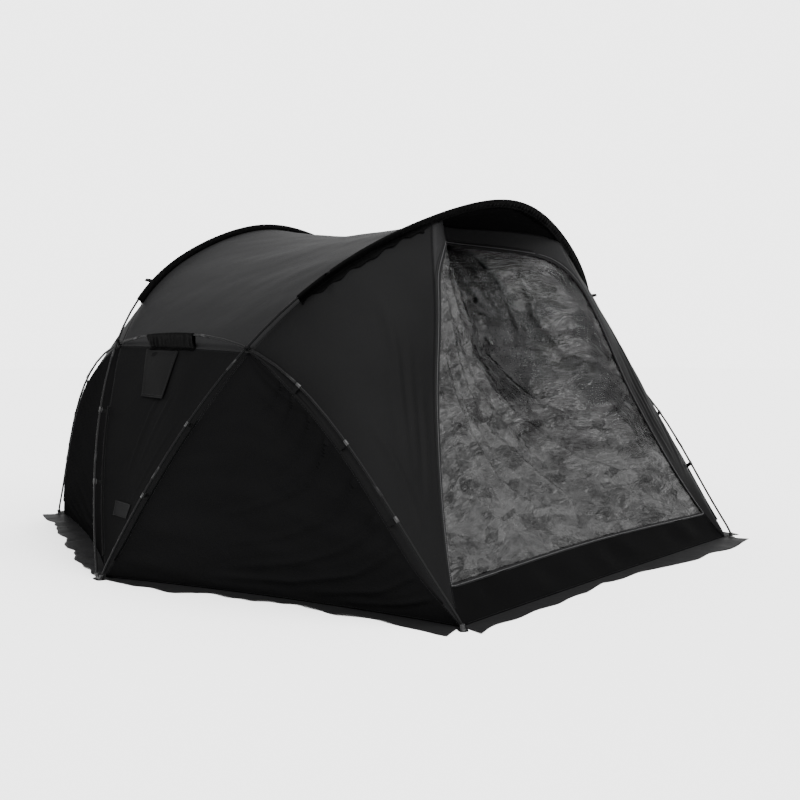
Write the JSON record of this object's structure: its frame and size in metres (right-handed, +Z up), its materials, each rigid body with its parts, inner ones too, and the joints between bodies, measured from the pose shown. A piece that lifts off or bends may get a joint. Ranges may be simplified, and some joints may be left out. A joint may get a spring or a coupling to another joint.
{
  "type": "dome tent",
  "caption": "Free-standing dome tent on bent crossing poles, with clear film windows in its sloping end walls and fabric skirts on the ground.",
  "frame": {"origin": "on the ground at the centre of the box round the tent", "axes": "+Z up, -Y out of the front wall that the picture shows nearly square on, +X to the right seen from the front"},
  "size_m": [4.172, 4.1848, 2.2002],
  "materials": {
    "shell_fabric": "black coated woven polyester, satin",
    "roof_fabric": "dark grey coated woven polyester, satin",
    "window_film": "smoke-tinted clear flexible film, creased",
    "webbing": "black woven webbing",
    "pole": "dark fibreglass rod, satin"
  },
  "bodies": {
    "root": {"front_arch_left_clips": "webbing", "front_arch_pole": "pole", "front_arch_right_clips": "webbing", "front_arch_sleeve": "webbing", "front_left_foot": "webbing", "front_left_panel": "shell_fabric", "front_right_foot": "webbing", "front_right_panel": "shell_fabric", "front_skirt": "shell_fabric", "front_wall": "shell_fabric", "front_window": "window_film", "label_patch": "webbing", "left_front_skirt": "shell_fabric", "left_front_wall": "shell_fabric", "left_middle_foot": "webbing", "left_middle_wall": "shell_fabric", "left_rear_skirt": "shell_fabric", "left_rear_wall": "shell_fabric", "left_side_front_clips": "webbing", "left_side_pole": "pole", "left_side_rear_clips": "webbing", "left_side_sleeve": "webbing", "left_vent_flap": "shell_fabric", "rear_arch_left_clips": "webbing", "rear_arch_pole": "pole", "rear_arch_right_clips": "webbing", "rear_arch_sleeve": "webbing", "rear_left_foot": "webbing", "rear_left_panel": "shell_fabric", "rear_right_foot": "webbing", "rear_right_panel": "shell_fabric", "rear_skirt": "shell_fabric", "rear_wall": "shell_fabric", "rear_window": "window_film", "right_front_skirt": "shell_fabric", "right_front_wall": "shell_fabric", "right_middle_foot": "webbing", "right_middle_wall": "shell_fabric", "right_rear_skirt": "shell_fabric", "right_rear_wall": "shell_fabric", "right_side_front_clips": "webbing", "right_side_pole": "pole", "right_side_rear_clips": "webbing", "right_side_sleeve": "webbing", "right_vent_flap": "shell_fabric", "roof_panel": "roof_fabric"}
  },
  "joints": []
}
